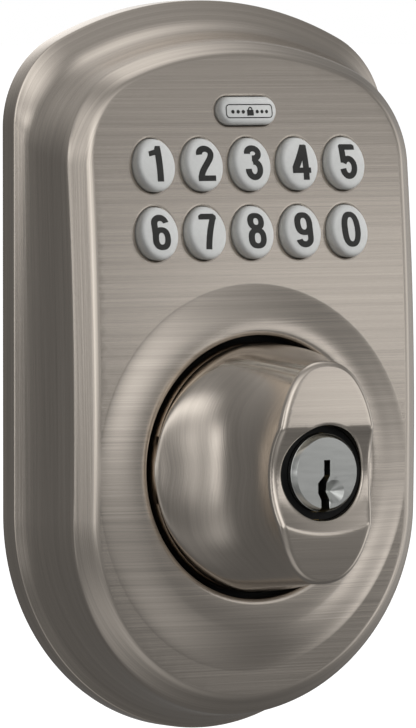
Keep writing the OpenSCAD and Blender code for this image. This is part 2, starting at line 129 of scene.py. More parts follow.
def stadium_loop(width, height, count, cx=0.0, cz=0.0):
    r = height / 2
    centre = width / 2 - r
    a = np.linspace(-math.pi / 2, math.pi / 2, count // 2)
    right = np.column_stack([centre + r * np.cos(a), r * np.sin(a)])
    steps = max(2, round(2 * centre / (math.pi * r) * count / 2))
    x = np.linspace(centre, -centre, steps + 1)[1:-1]
    top = np.column_stack([x, np.full(len(x), r)])
    return np.vstack([right, top, -right, -top]) + [cx, cz]


def lift(loop, depth):
    """Puts a flat loop of (x, z) at a depth, one number or one for each point."""
    return np.column_stack([loop[:, 0], np.broadcast_to(depth, len(loop)), loop[:, 1]])


def walked(loop):
    """Distance of each point of a closed loop from its lowest point, the shorter way round."""
    steps = np.linalg.norm(np.roll(loop, -1, axis=0) - loop, axis=1)
    total = np.concatenate([[0], np.cumsum(steps)[:-1]])
    start = total[np.argmin(loop[:, 1])]
    gone = (total - start) % steps.sum()
    return np.minimum(gone, steps.sum() - gone)


def inside(loop, points):
    """Which of the points lie inside a closed loop."""
    found = np.zeros(len(points), bool)
    ends = np.roll(loop, -1, axis=0)
    for (x0, z0), (x1, z1) in zip(loop, ends):
        if z0 == z1:
            continue
        spans = (points[:, 1] > min(z0, z1)) & (points[:, 1] <= max(z0, z1))
        cross = x0 + (points[:, 1] - z0) * (x1 - x0) / (z1 - z0)
        found ^= spans & (points[:, 0] < cross)
    return found


def between(outer, holes, points):
    """Which of the points lie inside an outer loop and outside its holes."""
    found = inside(outer, points)
    for hole in holes:
        found &= ~inside(hole, points)
    return found


def loop_edges(loops):
    """Edges of closed loops whose points are listed one loop after another."""
    edges = []
    start = 0
    for loop in loops:
        edges += [(start + i, start + (i + 1) % len(loop)) for i in range(len(loop))]
        start += len(loop)
    return edges


def flat_fill(points, edges, near):
    """Triangles over flat points that keep to the edges: the points used, and the faces."""
    found = delaunay_2d_cdt([Vector(p) for p in points], edges, [], 0, near)
    return np.array([tuple(v) for v in found[0]]), np.array([tuple(f) for f in found[2]])


def add_object(name, data):
    """Puts a new object in the scene."""
    made = bpy.data.objects.new(name, data)
    bpy.context.scene.collection.objects.link(made)
    return made


class Shell:
    """Collects patches of a surface, with a brush direction on each, and welds them into one piece."""

    def __init__(self):
        self.mesh = bmesh.new()
        self.uv = self.mesh.loops.layers.uv.new("brush")

    def patch(self, points, faces, brush):
        made = [self.mesh.verts.new((x * MM, -d * MM, z * MM)) for x, d, z in points]
        for face in faces:
            new = self.mesh.faces.new([made[i] for i in face])
            for loop, i in zip(new.loops, face):
                loop[self.uv].uv = brush[i]

    def loft(self, rings):
        """Quads between closed rings. The brush runs along the rings."""
        rings = np.array(rings)
        count = rings.shape[1]
        flat = rings.reshape(-1, 3)
        gone = np.tile(walked(rings[0][:, [0, 2]]), len(rings))
        steps = np.linalg.norm(np.diff(rings, axis=0), axis=2)
        across = np.vstack([np.zeros(count), np.cumsum(steps, axis=0)]).ravel()
        brush = np.column_stack([gone, across])
        faces = []
        for j in range(len(rings) - 1):
            for i in range(count):
                n = (i + 1) % count
                faces.append((j * count + i, j * count + n, (j + 1) * count + n, (j + 1) * count + i))
        self.patch(flat, faces, brush)

    def cap(self, outer, holes, depth, loose):
        """Fills the space between an outer loop and its holes with a surface at depth(x, z)."""
        loops = [outer, *holes]
        loose = loose[between(outer, holes, loose)]
        flat, faces = flat_fill(np.vstack(loops + [loose]), loop_edges(loops), FILL_NEAR)
        faces = faces[between(outer, holes, flat[faces].mean(axis=1))]
        self.patch(lift(flat, depth(*flat.T)), faces, flat)

    def disc(self, ring, turned=False):
        """Closes a ring with one flat face."""
        order = range(len(ring))
        self.patch(ring, [tuple(reversed(order)) if turned else tuple(order)], ring[:, [0, 2]])

    def piece(self, name, body, finish, replaces=(), sharp=32):
        """Makes an object of the patches, smooth but for its sharp corners, and rides it on a body."""
        bmesh.ops.remove_doubles(self.mesh, verts=self.mesh.verts, dist=WELD)
        bmesh.ops.dissolve_degenerate(self.mesh, edges=self.mesh.edges, dist=NO_LENGTH)
        bmesh.ops.recalc_face_normals(self.mesh, faces=self.mesh.faces)
        mesh = bpy.data.meshes.new(name)
        self.mesh.to_mesh(mesh)
        self.mesh.free()
        mesh.materials.append(finish)
        mesh.polygons.foreach_set("use_smooth", [True] * len(mesh.polygons))
        mesh.set_sharp_from_angle(angle=math.radians(sharp))
        obj = add_object(name, mesh)
        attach(obj, body)
        if replaces:
            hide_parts(*replaces)


def grid(x0, x1, z0, z1, step):
    """Loose points on a staggered grid."""
    rows = np.arange(z0, z1, step * ROW_STEP)
    points = []
    for k, z in enumerate(rows):
        x = np.arange(x0 + (k % 2) * step / 2, x1, step)
        points.append(np.column_stack([x, np.full(len(x), z)]))
    return np.vstack(points)


def soft_min(a, b, width):
    return (a + b - np.sqrt((a - b) ** 2 + width**2)) / 2


def rounding(count, r):
    """Steps along a quarter circle of a radius, as how far in and how far forward."""
    q = np.linspace(0, math.pi / 2, count)[1:]
    return list(zip(r * (1 - np.cos(q)), r * np.sin(q)))


# ---- escutcheon
CROWN_Z = 7.0  # height at which the front face is fullest
CROWN_R = 420.0
WALL_DEPTH = 4.2
WALL_EDGE = 0.2  # rounding of the wall's front edge
BACK_EDGE = 0.5
BACK_ROUND = 0.15
RIM_DEPTH = FACE_DEPTH - 2.5
INNER_CREASE = SKIN - 0.4  # the inner bevel lies this far inside the outer one
INNER_WALL = 3.2  # depth at which the inner wall starts to lean in
INNER_COVE = 6.5  # depth and bow of the middle of the inner cove
INNER_BOW = 0.2
INNER_RIM = RIM_DEPTH - 2.4
HOLE_R = 21.5  # the knob turns in this hole
LIP_R = HOLE_R + 1  # the raised ring is highest here
LIP_DROP = 0.5
BULGE_R = 29.9  # the raised ring meets the face here at its top
BULGE_LOW = 3.6  # and this much further out at its bottom
BULGE_POWER = 1.4
# outlines as half width, top, crown radius, corner radius; a length taken off all four insets one
BASE = np.array([PLATE_HALF, PLATE_TOP, 61.6, 16])
RIM = np.array([PLATE_HALF - 2.9, PLATE_TOP - 6.6, 58.6, 17])
CREASE = np.array([PLATE_HALF - 5.9, PLATE_TOP - 8.7, 56, 14.5])
COVE_EVEN = 0.35  # share of the cove's rise that is even; the rest comes late
COVE_POWER = 5
COVE_RINGS = 33
BEVEL_START = 0.78  # the bevel rounds into the face between these shares of its way
BEVEL_END = 1.22
KEY_HOLE = (3.83, 4.45)  # half width and half height
KEY_HOLE_MEAN = 4.1
BUTTON_HOLE = (11.5, 4.9)
BUTTON_Z = centre_of("top_button")[1]
HOLE_EDGE = 0.22  # rounding of the edge of a key hole
RING_POINTS = 240  # points on each ring round the knob
HOLE_POINTS = 72
FACE_STEP = 1.6  # distance between the loose points of the face
FACE_CLEAR = 0.6  # and how far they keep off the loops


def crown_drop(z):
    return (z - CROWN_Z) ** 2 / (2 * CROWN_R)


def face_depth(z):
    return FACE_DEPTH - crown_drop(z)


def bulge_edge(turn):
    """Radius at which the raised ring round the knob meets the face; it reaches further at the bottom."""
    return BULGE_R + BULGE_LOW * np.maximum(-np.sin(turn), 0) ** 2


def bulge_rise(x, z):
    """How far the raised ring stands out of the face: a swelling that flattens, with a rounded lip."""
    r = np.hypot(x, z)
    reach = bulge_edge(np.arctan2(z, x))
    share = np.clip((reach - r) / (reach - LIP_R), 0, 1)
    lip = np.clip(LIP_R - r, 0, 1)
    rise = (BULGE_FRONT - face_depth(z)) * np.sin(math.pi / 2 * share) ** BULGE_POWER
    return rise - LIP_DROP * (1 - np.sqrt(1 - lip**2))


def hole_drop(x, z):
    """How far the face dips at the rounded edge of each key hole."""
    drop = np.zeros(len(x))
    for name in KEY_NAMES:
        cx, cz = centre_of(name)
        k = np.hypot((x - cx) / KEY_HOLE[0], (z - cz) / KEY_HOLE[1])
        drop = np.maximum(drop, edge_round((k - 1) * KEY_HOLE_MEAN, HOLE_EDGE))
    dx = np.maximum(np.abs(x) - (BUTTON_HOLE[0] - BUTTON_HOLE[1]) / 2, 0)
    away = np.hypot(dx, z - BUTTON_Z) - BUTTON_HOLE[1] / 2
    return np.maximum(drop, edge_round(away, HOLE_EDGE))


def edge_round(away, edge):
    """How far a surface dips, at a distance from a hole, to round the hole's edge."""
    inner = np.clip(edge - away, 0, edge)
    return edge - np.sqrt(edge**2 - inner**2)


def front_depth(x, z):
    return face_depth(z) + bulge_rise(x, z) - hole_drop(x, z)


def wall_rings():
    """Outline, depth and bow of the rings from the back edge to the rounded front edge of the wall."""
    rings = [(BASE - BACK_ROUND, BACK_EDGE, 0)]
    rings += [(BASE, BACK_EDGE + BACK_ROUND, 0), (BASE, WALL_DEPTH - WALL_EDGE, 0)]
    for far_in, forward in rounding(5, WALL_EDGE):
        rings.append((BASE - far_in, WALL_DEPTH - WALL_EDGE + forward, 0))
    return rings


def cove_rings():
    """Rings of the hollow cove between the wall and the rim."""
    rings = []
    inner = BASE - WALL_EDGE
    for t in np.linspace(0, 1, COVE_RINGS)[1:-1]:
        rise = COVE_EVEN * t + (1 - COVE_EVEN) * t**COVE_POWER
        rings.append((inner + (RIM - inner) * t, WALL_DEPTH + (RIM_DEPTH - WALL_DEPTH) * rise, rise))
    return rings


def bevel_rings():
    """Rings from the rounded rim over the bevel, which rounds into the front face."""
    slope = FACE_DEPTH - RIM_DEPTH
    depths = {}
    for share, sink in ((0.0, 0.35), (0.03, 0.12), (0.08, 0.02), (0.2, 0), (0.4, 0), (0.6, 0), (0.72, 0)):
        depths[share] = RIM_DEPTH + slope * share - sink
    for share in np.linspace(BEVEL_START, BEVEL_END, 7):
        past = (share - BEVEL_START) / (BEVEL_END - BEVEL_START)
        depths[share] = FACE_DEPTH - slope * (1 - BEVEL_START) * max(0, 1 - past) ** 2
    return [(RIM + (CREASE - RIM) * share, depth, 1) for share, depth in depths.items()]


def moulding_rings():
    """Rings from the back edge over the wall, the hollow cove and the bevel to the front face.

    A ring's bow says how much of the face's crown it follows, from 0, none, to 1, all.
    """
    made = []
    for shape, depth, bow in wall_rings() + cove_rings() + bevel_rings():
        loop = outline(shape)
        depths = depth - bow * crown_drop(loop[:, 1])
        if bow == 1:
            depths = depths + bulge_rise(loop[:, 0], loop[:, 1])
        made.append(lift(loop, depths))
    return made


def ring_at(offset):
    """Loop that runs round the raised ring at a distance outside its edge."""
    turn = FULL_TURN * np.arange(RING_POINTS) / RING_POINTS
    r = bulge_edge(turn) + offset
    return oval_points(turn, r, r)


def bulge_points():
    """Loose points on rings round the knob, closer together where the surface bends."""
    lip = [round_loop(LIP_R - sine, RING_POINTS) for sine in np.sin(np.linspace(0, math.pi / 2, 8)[:-1])]
    swell = [ring_at(-gap) for gap in (0.08, 0.2, 0.5, 1, 1.6, 2.2, 2.9, 3.6, 4.3, 5, 5.7, 6.4, 7.0)]
    outside = [ring_at(gap) for gap in (0.08, 0.2, 0.6, 1.2)]
    return np.vstack(lip + swell + outside)


def thinned(points, loops, gap):
    """Points that are not closer than a gap to any point of the loops."""
    for loop in loops:
        near = np.linalg.norm(points[:, None, :] - loop[None, :, :], axis=2).min(axis=1)
        points = points[near > gap]
    return points


def key_holes(grow=0.0):
    """Outlines of the ten key holes and of the long button's hole, grown by a distance."""
    oval = np.add(KEY_HOLE, grow)
    loops = [oval_loop(*oval, HOLE_POINTS, *centre_of(name)) for name in KEY_NAMES]
    return loops + [stadium_loop(*np.add(BUTTON_HOLE, 2 * grow), HOLE_POINTS, 0, BUTTON_Z)]


def face_points(face_loop, holes, knob_hole):
    """Loose points of the front face, closer together round the holes and on the raised ring."""
    rounded = [loop for grow in (0.06, 0.13, 0.22, 0.5) for loop in key_holes(grow)]
    spread = grid(-PLATE_HALF, PLATE_HALF, PLATE_LOW[2], PLATE_TOP, FACE_STEP)
    spread = spread[~inside(ring_at(1.9), spread)]
    spread = thinned(spread, holes + rounded[-len(holes):] + [face_loop], FACE_CLEAR)
    swell = thinned(bulge_points(), [face_loop, knob_hole], 0.05)
    crease = ring_at(0.0)
    crease = crease[inside(face_loop, crease)]
    return np.vstack([spread, swell] + rounded + [crease])


def back_depth(x, z):
    """Depth of the back of the plate's face."""
    return face_depth(z) - SKIN


def make_inside(shell, holes, knob_hole):
    """Inner face, cove and wall, about a skin's thickness inside the outer ones. Returns the back ring."""
    inner_crease = CREASE - INNER_CREASE
    coarse = grid(-PLATE_HALF, PLATE_HALF, PLATE_LOW[2], PLATE_TOP, 6)
    shell.cap(outline(inner_crease), holes + [knob_hole], back_depth, thinned(coarse, holes, 1.0))
    rings = []
    for shape, depth, bow in (
        (BASE - SKIN, BACK_EDGE, 0),
        (BASE - SKIN, INNER_WALL, 0),
        (RIM - SKIN, INNER_COVE, INNER_BOW),
        (RIM - (SKIN + 0.2), INNER_RIM, 1),
        (inner_crease, FACE_DEPTH - SKIN, 1),
    ):
        loop = outline(shape)
        rings.append(lift(loop, depth - bow * crown_drop(loop[:, 1])))
    shell.loft(rings)
    return rings[0]


def make_escutcheon(finish):
    """The hollow plate: its moulded outside, the holes' walls, its inside and its back edge."""
    shell = Shell()
    rings = moulding_rings()
    shell.loft(rings)
    face_loop = rings[-1][:, [0, 2]]
    holes = key_holes()
    knob_hole = round_loop(HOLE_R, RING_POINTS)
    shell.cap(face_loop, holes + [knob_hole], front_depth, face_points(face_loop, holes, knob_hole))
    for hole in holes + [knob_hole]:
        shell.loft([lift(hole, back_depth(*hole.T)), lift(hole, front_depth(*hole.T))])
    shell.loft([make_inside(shell, holes, knob_hole), rings[0]])
    shell.piece("lock_escutcheon", "housing", finish, ["escutcheon"], 40)


# ---- knob
FOOT_BACK = 18.6
FOOT_FRONT = 22.0
FOOT_ROUND = 0.3
GRIP_HALF_W = 9.1
GRIP_HALF_H = 18.0
FLANK_WIDER = 0.6  # the flanks are this much wider than the grip where they reach it
FLANK_SOFT = 0.25  # how softly the flanks leave the round of the foot
SIDE_POWER = 2.4  # how early the flanks draw in from the foot at the sides
END_POWER = 1.6  # and at the top and bottom
SQUARE_END = 0.25  # how much squarer than an oval the flank is at the grip,
SQUARE_MID = 1.1  # and in between,
SQUARE_EARLY = 0.6  # where a number below 1 moves the squarest place towards the foot
FLANK_RINGS = 56
RING_POWER = 1.3  # above 1, the rings are closer together near the foot
FOOT_EDGE = 0.12  # rounding of the foot's front edge
FOOT_EDGE_SHARE = 0.03
NOSE = 1.0  # rounding between the flanks and the front of the grip
BEND_Z = 3.0  # the grip's front falls away above and below this height,
BEND_UP = 290  # by the square of the distance over these
BEND_DOWN = 330
SCOOP_R = 15.1  # the scoop is part of a cylinder of this radius,
SCOOP_Z = -0.5  # whose axis lies at this height
SCOOP_RISE = 13.0  # and this far in front of the grip
SCOOP_SOFT = 0.12
SCOOP_HALF = 9.5  # the scoop's lower edge is a curve across this half width
SCOOP_LOW = 7.7  # that starts this far down
SCOOP_SAG = 2.9  # and sags this much at its middle
BORE_R = BEZEL_R + 0.1
BORE_EDGE = 0.35
BORE_BACK = 38.4  # the bore is wider behind this depth
WIDE_BORE_R = 9.6
KNOB_POINTS = 288  # points on each ring of the knob
BORE_POINTS = 160


def flank(depth, turn):
    """Point (x, z) of the knob's flank at a depth, or one depth for each turn."""
    share = np.clip((depth - FOOT_FRONT) / (GRIP_FRONT - NOSE - FOOT_FRONT), 0, 1)
    rest = 1 - share
    waist = GRIP_HALF_W + FLANK_WIDER
    a = waist + (KNOB_R - waist) * rest**SIDE_POWER
    b = GRIP_HALF_H + (KNOB_R - GRIP_HALF_H) * rest**END_POWER
    power = 2 / (2 + SQUARE_END * share + SQUARE_MID * np.sin(math.pi * share**SQUARE_EARLY))
    c, s = np.cos(turn), np.sin(turn)
    spot = np.column_stack([a * np.sign(c) * np.abs(c) ** power, b * np.sign(s) * np.abs(s) ** power])
    reach = np.hypot(*spot.T)
    return spot * (soft_min(reach, KNOB_R, FLANK_SOFT) / reach)[:, None]


def grip_depth(x, z):
    """Front of the grip: a slightly crowned face with a hollow scooped across it round the cylinder."""
    above, below = np.maximum(z - BEND_Z, 0), np.maximum(BEND_Z - z, 0)
    face = GRIP_FRONT - above**2 / BEND_UP - below**2 / BEND_DOWN
    low = np.clip(1 - (x / SCOOP_HALF) ** 2, 0, 1)
    squeeze = np.where(z < SCOOP_Z, SCOOP_LOW / (SCOOP_LOW + SCOOP_SAG * low), 1.0)
    reach = np.clip(np.abs(z - SCOOP_Z) * squeeze, 0, SCOOP_R)
    scoop = GRIP_FRONT + SCOOP_RISE - np.sqrt(SCOOP_R**2 - reach**2)
    return soft_min(face, scoop, SCOOP_SOFT) - edge_round(np.hypot(x, z) - BORE_R, BORE_EDGE)


def inward(loop, amount):
    """Moves each point of a closed loop square to it, into the loop."""
    step = np.roll(loop, -1, axis=0) - np.roll(loop, 1, axis=0)
    step /= np.linalg.norm(step, axis=1)[:, None]
    return loop + np.column_stack([-step[:, 1], step[:, 0]]) * np.reshape(amount, (-1, 1))


def grip_edge(turn):
    """Depth, for each turn, at which the flank starts to round into the front of the grip."""
    edge = np.full(len(turn), GRIP_FRONT - NOSE)
    for _ in range(4):
        loop = flank(edge, turn)
        edge = grip_depth(*inward(loop, NOSE).T) - NOSE
    return edge


def knob_rings():
    """Rings from the back of the foot over the flanks and the rounding to the front of the grip."""
    turn = FULL_TURN * np.arange(KNOB_POINTS) / KNOB_POINTS
    edge = grip_edge(turn)
    foot = round_loop(KNOB_R, KNOB_POINTS)
    rings = [lift(round_loop(KNOB_R - FOOT_ROUND, KNOB_POINTS), FOOT_BACK)]
    rings += [lift(foot, FOOT_BACK + FOOT_ROUND), lift(foot, FOOT_FRONT - 0.5)]
    for share in np.linspace(0, 1, FLANK_RINGS) ** RING_POWER:
        depth = FOOT_FRONT + (edge - FOOT_FRONT) * share
        drawn_in = max(0.0, 1 - share / FOOT_EDGE_SHARE) * FOOT_EDGE
        rings.append(lift(inward(flank(depth, turn), drawn_in), depth))
    last = flank(edge, turn)
    rings += [lift(inward(last, far_in), edge + forward) for far_in, forward in rounding(8, NOSE)]
    front_loop = rings[-1][:, [0, 2]]
    rings[-1] = lift(front_loop, grip_depth(*front_loop.T))
    return rings


def make_grip_front(shell, front_loop, bore):
    """Front of the grip round the bore."""
    rounds = np.vstack([round_loop(BORE_R + gap, BORE_POINTS) for gap in (0.06, 0.14, 0.24, 0.36, 0.6)])
    loose = thinned(grid(-12, 12, -20, 20, 0.42), [front_loop, bore], 0.25)
    loose = loose[np.hypot(*loose.T) > BORE_R + 0.75]
    shell.cap(front_loop, [bore], grip_depth, np.vstack([loose, rounds]))


def make_knob(finish):
    """The turn knob: foot, flanks and grip, with the bore for the cylinder and a flat back."""
    shell = Shell()
    rings = knob_rings()
    shell.loft(rings)
    bore = round_loop(BORE_R, BORE_POINTS)
    make_grip_front(shell, rings[-1][:, [0, 2]], bore)
    shell.loft([lift(bore, BORE_BACK), lift(bore, grip_depth(*bore.T))])
    wide = round_loop(WIDE_BORE_R, BORE_POINTS)
    shell.loft([lift(bore, BORE_BACK), lift(wide, BORE_BACK), lift(wide, FOOT_BACK)])
    foot_loop = round_loop(KNOB_R - FOOT_ROUND, KNOB_POINTS)
    shell.cap(foot_loop, [wide], lambda x, z: FOOT_BACK, grid(-20, 20, -20, 20, 4))
    shell.piece("turn_knob", "knob_body", finish, ["knob"], 50)


# ---- keys and their numbers
KEY_PROUD = 1.9  # how far the middle of a key stands in front of the face
KEY_BALL = 20.0  # the keys' domes are parts of balls of this radius,
KEY_LEAN = 4.3  # with its centre this far below the key's, so the face leans back
BUTTON_PROUD = 1.7
BUTTON_BALL = 30.0
BUTTON_LEAN = 4.6
KEY_EDGE = 0.95  # rounding between the sides and the dome
KEY_GAP = 0.15
KEY_POINTS = 96
FLANGE_WIDER = 0.5  # the flange behind the plate's skin is this much wider than the key
FLANGE_GAP = 0.85  # and starts this far behind the skin
FLANGE_BACK = 1.8
COLLAR_R = (3.1, 2.4)  # outer and inner radius of the collar behind a key
PIN_R = 1.8
PIN_RISE = 0.45  # the pin ends this far in front of the collar's end
STEM_POINTS = 48
DOME_INNER = 0.08  # the rings of a dome end at this share of its edge
FILM = 0.03  # thickness of the print on the keys
FILM_CELL = 0.42  # size of the cells that let the print follow the dome
FILM_SHIFT = (0.21, 0.17)  # where the first cell starts
FILM_NEAR = 1e-6  # as FILL_NEAR, for the print


def ball_depth(x, z, front, ball, lean):
    """Depth of a domed, leaning cap whose middle is at a depth of front."""
    centre = front - math.sqrt(ball**2 - lean**2)
    return centre + np.sqrt(ball**2 - x**2 - (z + lean) ** 2)


def make_stem(shell, middle, front, back):
    """Behind a key: a collar that goes round the mat's dome, and the pin that presses the dome."""
    outer, inner = COLLAR_R
    collar = [(outer, front), (outer, back), (inner, back), (inner, front)]
    shell.loft([lift(round_loop(r, STEM_POINTS), depth) + middle for r, depth in collar])
    pin = [lift(round_loop(PIN_R, STEM_POINTS), depth) + middle for depth in (front, back + PIN_RISE)]
    shell.loft(pin)
    shell.disc(pin[1])


def side_rings(loop, back, flange_front, dome):
    """Rings of a key from the back of its flange over its sides and rounded edge to its dome."""
    edge = ball_depth(*inward(loop, KEY_EDGE).T, *dome) - KEY_EDGE
    wide = inward(loop, -FLANGE_WIDER)
    rings = [lift(wide, back), lift(wide, flange_front), lift(loop, flange_front)]
    for share in (0.3, 0.6, 0.8, 1.0):
        rings.append(lift(loop, flange_front + (edge - flange_front) * share))
    rings += [lift(inward(loop, far_in), edge + forward) for far_in, forward in rounding(7, KEY_EDGE)]
    top = rings[-1][:, [0, 2]]
    rings[-1] = lift(top, ball_depth(*top.T, *dome))
    return rings


def make_dome(shell, top, middle, dome):
    """The dome inside a key's edge: rings, and one small face in the middle."""
    def on_dome(share):
        spot = top * share
        return lift(spot, ball_depth(*spot.T, *dome)) + middle

    shares = np.linspace(1, DOME_INNER, 9)
    for share in shares[:-1]:
        shell.loft([on_dome(share), on_dome(share - (1 - DOME_INNER) / 8)])
    shell.disc(on_dome(DOME_INNER))


def make_cap(node, loop, dome, finish, stem):
    """A key: straight sides, a rounded edge and a domed face, on a flange that stays behind the skin."""
    cx, cz = centre_of(node)
    shell = Shell()
    end = -corners(node)[1][1]
    skin_back = face_depth(cz) - SKIN
    back = skin_back - FLANGE_BACK if stem else end
    rings = side_rings(loop, back, skin_back - FLANGE_GAP, dome)
    top = rings[-1][:, [0, 2]]
    middle = np.array([cx, 0, cz])
    rings = [ring + middle for ring in rings]
    shell.loft(rings)
    if stem:
        make_stem(shell, middle, back, end)
    make_dome(shell, top, middle, dome)
    shell.disc(rings[0], turned=True)
    shell.piece(f"{node}_cap", f"{node}_body", finish, [node], 50)


def make_keys(finish, ink):
    """The ten keys and the long button, each with its print."""
    for name in KEY_NAMES:
        centre = centre_of(name)
        dome = (face_depth(centre[1]) + KEY_PROUD, KEY_BALL, KEY_LEAN)
        loop = oval_loop(*np.subtract(KEY_HOLE, KEY_GAP), KEY_POINTS)
        make_cap(name, loop, dome, finish, stem=True)
        print_film(f"{name}_number", f"{name}_body", number_shapes(name[-1]), centre, dome, ink)
    dome = (face_depth(BUTTON_Z) + BUTTON_PROUD, BUTTON_BALL, BUTTON_LEAN)
    loop = stadium_loop(*np.subtract(BUTTON_HOLE, 2 * KEY_GAP), KEY_POINTS)
    make_cap("top_button", loop, dome, finish, stem=False)
    print_film("top_button_symbol", "top_button_body", padlock_symbol(), (0, BUTTON_Z), dome, ink)


def print_cells(points):
    """Ends of upright and level lines that cut the print into cells."""
    low, high = points.min(axis=0) - 0.3, points.max(axis=0) + 0.3
    first = low + FILM_SHIFT
    cuts = [[(x, low[1]), (x, high[1])] for x in np.arange(first[0], high[0], FILM_CELL)]
    cuts += [[(low[0], z), (high[0], z)] for z in np.arange(first[1], high[1], FILM_CELL)]
    return [np.array(cut) for cut in cuts]


def covered_by(shapes, points):
    """Which points the shapes cover. A shape is a list of loops: an outline and its holes."""
    found = np.zeros(len(points), bool)
    for shape in shapes:
        covered = np.zeros(len(points), bool)
        for loop in shape:
            covered ^= inside(np.array(loop, float), points)
        found |= covered
    return found


def print_film(name, body, shapes, centre, dome, ink):
    """Prints flat shapes as a thin film on a dome."""
    loops = [np.array(loop, float) for shape in shapes for loop in shape]
    points = np.vstack(loops)
    cuts = print_cells(points)
    start = len(points)
    edges = loop_edges(loops) + [(start + 2 * i, start + 2 * i + 1) for i in range(len(cuts))]
    flat, faces = flat_fill(np.vstack([points] + cuts), edges, FILM_NEAR)
    faces = faces[covered_by(shapes, flat[faces].mean(axis=1))]
    used = np.unique(faces)
    depth = ball_depth(flat[used, 0], flat[used, 1], *dome) + FILM
    shell = Shell()
    shell.patch(lift(flat[used] + centre, depth), np.searchsorted(used, faces), flat[used])
    shell.piece(name, body, ink)


# ---- the numbers and the symbol
HALF_TALL = 2.87  # half height and half width of a digit, as drawn
HALF_WIDE = 1.52
STROKE = 1.0
HOOP_POWER = 0.85  # below 1, this squares the round digits a little
NUMBER_SPREAD = 1.13  # a digit is printed this much wider than it is drawn
NUMBER_LIFT = 0.3  # and this far above the middle of its key


def bar(x0, x1, z0, z1):
    """A shape with one loop: a rectangle."""
    return [[(x0, z0), (x1, z0), (x1, z1), (x0, z1)]]


def bend(cx, cz, a, b, start, end, count=22):
    """Points of an oval arc from one angle to another, in degrees."""
    return oval_points(np.radians(np.linspace(start, end, count)), a, b, cx, cz)


def swing(p0, p1, p2, p3):
    """Points of a smooth curve from p0 to p3, which p1 and p2 pull out of the straight."""
    t = np.linspace(0, 1, 14)[:, None]
    p0, p1, p2, p3 = (np.array(p) for p in (p0, p1, p2, p3))
    return p0 * (1 - t) ** 3 + 3 * p1 * t * (1 - t) ** 2 + 3 * p2 * t**2 * (1 - t) + p3 * t**3


def ribbon(path, width=STROKE):
    """A shape with one loop: a stroke of a width along an open path."""
    step = np.gradient(path, axis=0)
    step /= np.linalg.norm(step, axis=1)[:, None]
    side = np.column_stack([-step[:, 1], step[:, 0]]) * width / 2
    return [np.vstack([path + side, (path - side)[::-1]])]


def hoop(cx, cz, a, b, rim=STROKE, flat_rim=0.9):
    """A closed round stroke: its outer and its inner outline, both slightly squared."""
    loops = []
    unit = round_loop(1.0, 48)
    squared = np.sign(unit) * np.abs(unit) ** HOOP_POWER
    for half_a, half_b in ((a, b), (a - rim, b - flat_rim)):
        loops.append(squared * (half_a, half_b) + (cx, cz))
    return loops


def digit_0():
    return [hoop(0, 0, HALF_WIDE + 0.08, HALF_TALL)]


def digit_1():
    left, right = -0.32, 0.76
    stem = [(left, -HALF_TALL), (right, -HALF_TALL), (right, HALF_TALL), (-0.1, HALF_TALL)]
    flag = [(left, 2.3), (-1.3, 2.0), (-1.3, 1.2), (left, 1.42)]
    return [[stem + flag]]


def digit_2():
    top = bend(0, 1.52, 0.98, 0.82, 190, -15)
    slope = swing(top[-1], (0.75, 0.35), (-0.95, -0.9), (-0.95, -2.3))
    return [ribbon(np.vstack([top, slope[1:]])), bar(-1.48, 1.48, -HALF_TALL, -1.97)]


def digit_3():
    upper = bend(0, 1.52, 0.94, 0.82, 185, -105)
    lower = bend(0, -1.08, 0.98, 1.26, 100, -185)
    return [ribbon(upper), ribbon(lower)]


def digit_4():
    slope = [(-1.55, -1.2), (-1.55, -0.7), (0.2, HALF_TALL)]
    slope += [(0.8, HALF_TALL), (0.8, 1.5), (-0.52, -1.2)]
    return [bar(0.2, 1.24, -HALF_TALL, HALF_TALL), bar(-1.55, 1.6, -1.75, -0.87), [slope]]


def digit_5():
    bowl = bend(0, -0.92, 0.98, 1.42, 150, -172)
    return [bar(-1.25, 1.38, 1.95, HALF_TALL), bar(-1.3, -0.34, -0.15, HALF_TALL), ribbon(bowl)]


def digit_6():
    stem = np.vstack([[(-0.99, -1.0)], bend(0, 1.35, 0.99, 0.98, 180, 10)])
    return [hoop(0, -1.02, HALF_WIDE, 1.85), ribbon(stem)]


def digit_7():
    slope = swing((0.98, 2.3), (0.35, 1.0), (-0.22, -0.9), (-0.27, -HALF_TALL))
    return [bar(-1.48, 1.48, 1.95, HALF_TALL), ribbon(slope)]


def digit_8():
    return [hoop(0, 1.5, 1.4, 1.38, 0.98, 0.84), hoop(0, -1.18, HALF_WIDE, 1.7, 1.0, 0.86)]


def digit_9():
    """A 6 turned half round."""
    return [[-np.array(loop) for loop in shape] for shape in digit_6()]


DIGITS = (digit_0, digit_1, digit_2, digit_3, digit_4, digit_5, digit_6, digit_7, digit_8, digit_9)


def number_shapes(digit):
    """The shapes of a digit, widened and moved a little above the middle of the key."""
    drawn = DIGITS[int(digit)]()
    return [[np.array(loop) * (NUMBER_SPREAD, 1) + (0, NUMBER_LIFT) for loop in shape] for shape in drawn]


def slab_loop(width, height, corner):
    """Rectangle with rounded corners."""
    loop = []
    for k, (sx, sz) in enumerate([(1, 1), (-1, 1), (-1, -1), (1, -1)]):
        centre = np.array([sx * (width / 2 - corner), sz * (height / 2 - corner)])
        loop.append(bend(*centre, corner, corner, 90 * k, 90 * k + 90, 8))
    return np.vstack(loop)


def padlock_symbol():
    """A plain frame with a closed padlock between dots."""
    width, height, corner, line = 9.0, 2.3, 0.7, 0.17
    hollow = slab_loop(width - 2 * line, height - 2 * line, corner - line)
    frame_shape = [slab_loop(width, height, corner), hollow]
    shackle = bend(0, 0.14, 0.34, 0.46, 0, 180)
    shapes = [frame_shape, bar(-0.62, 0.62, -0.74, 0.2), ribbon(shackle, 0.19)]
    for x in (1.35, 2.3, 3.25):
        shapes += [[round_loop(0.3, 20, side * x, -0.1)] for side in (-1, 1)]
    return shapes


